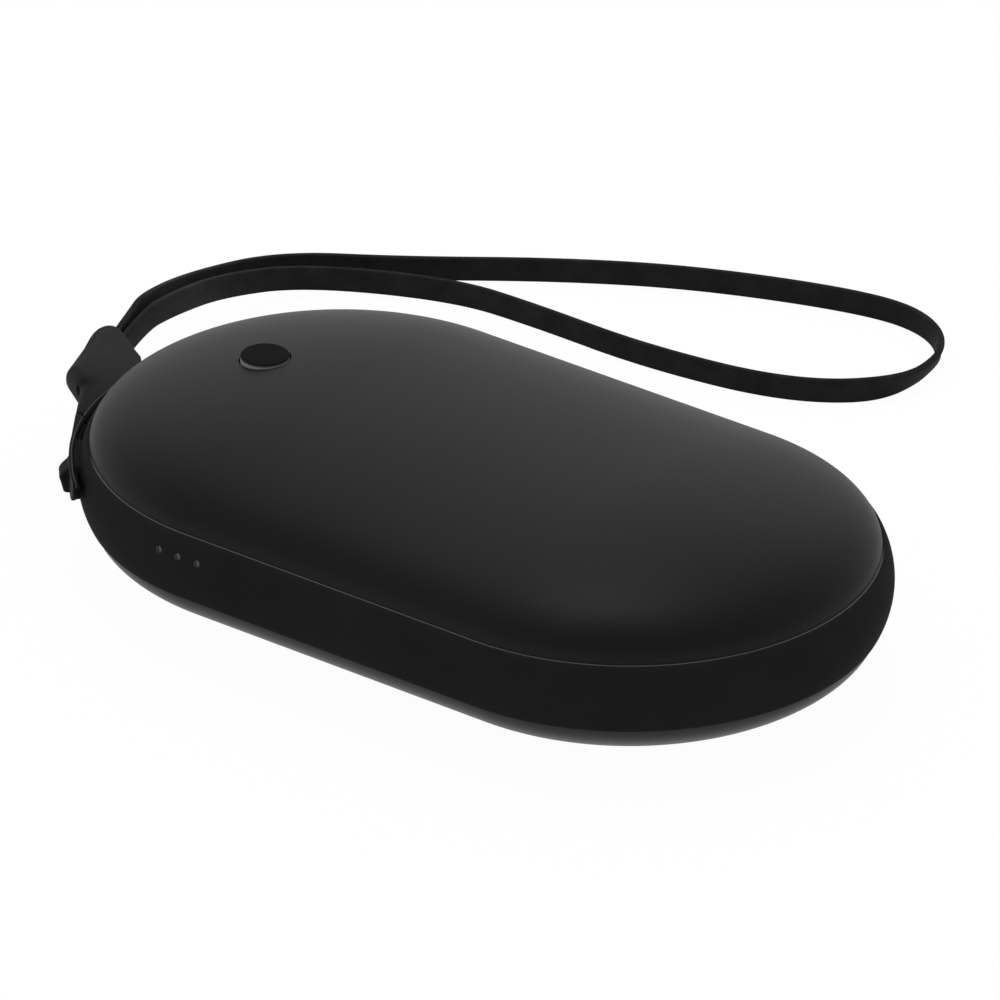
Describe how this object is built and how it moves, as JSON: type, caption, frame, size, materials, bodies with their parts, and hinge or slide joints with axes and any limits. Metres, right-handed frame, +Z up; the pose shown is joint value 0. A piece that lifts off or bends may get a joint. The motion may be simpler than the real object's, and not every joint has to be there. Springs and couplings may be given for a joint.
{
  "type": "rechargeable hand warmer",
  "caption": "Pocket hand warmer with two domed heated shells on an oval band, a push button, status lights, a hinged charging port cover and a wrist strap.",
  "frame": {"origin": "centre of the flat oval on the underside, where the warmer rests", "axes": "+X along the case away from the wrist strap, +Z up out of the button side, status lights on the -Y side"},
  "size_m": [0.1214, 0.1162, 0.0226],
  "materials": {
    "shell_coat": "soft matte black coat on a thin aluminium shell",
    "band_plastic": "smooth matte black plastic",
    "soft_rubber": "matte black silicone rubber",
    "button_rubber": "dark matte silicone button cap",
    "strap_leather": "thin black strap with a fine grain",
    "clear_plastic": "clear moulded light guide",
    "lamp_body": "small surface-mount lamps",
    "tray_plastic": "pale moulded plastic",
    "board_laminate": "green circuit board laminate",
    "chip_plastic": "black moulded chip bodies",
    "steel": "plain steel",
    "nickel": "nickel strip",
    "cell_wrap": "laminated aluminium pouch",
    "heater_film": "amber film with printed heating tracks",
    "foam": "closed-cell foam pad",
    "sensor_glass": "glass bead"
  },
  "bodies": {
    "case": {"middle_band": "band_plastic", "top_shell": "shell_coat", "bottom_shell": "shell_coat", "inner_tray": "tray_plastic", "battery_cell": "cell_wrap", "battery_tabs": "nickel", "circuit_board": "board_laminate", "board_screws": "steel", "control_chip": "chip_plastic", "power_coil": "chip_plastic", "usb_socket": "steel", "socket_tongue": "chip_plastic", "tact_switch": "chip_plastic", "button_guide": "tray_plastic", "light_guide": "clear_plastic", "status_lamps": "lamp_body", "top_heater": "heater_film", "bottom_heater": "heater_film", "top_foam": "foam", "bottom_foam": "foam", "heat_sensor": "sensor_glass", "strap_holder": "soft_rubber", "wrist_strap": "strap_leather"},
    "button": {"power_button": "button_rubber", "switch_plunger": "tray_plastic"},
    "cover": {"port_cover": "soft_rubber"}
  },
  "joints": [
    {"name": "button_press", "type": "slide", "parent": "case", "child": "button", "axis": [0, 0, -1], "range_m": [0, 0.0005], "stiffness_N_per_m": 2000, "springref_m": -0.0005},
    {"name": "cover_hinge", "type": "hinge", "parent": "case", "child": "cover", "pos_m": [-0.0501, -0.01156, 0.01155], "axis": [0, 0, -1], "range_deg": [0, 80], "stiffness_Nm_per_rad": 0.002}
  ]
}
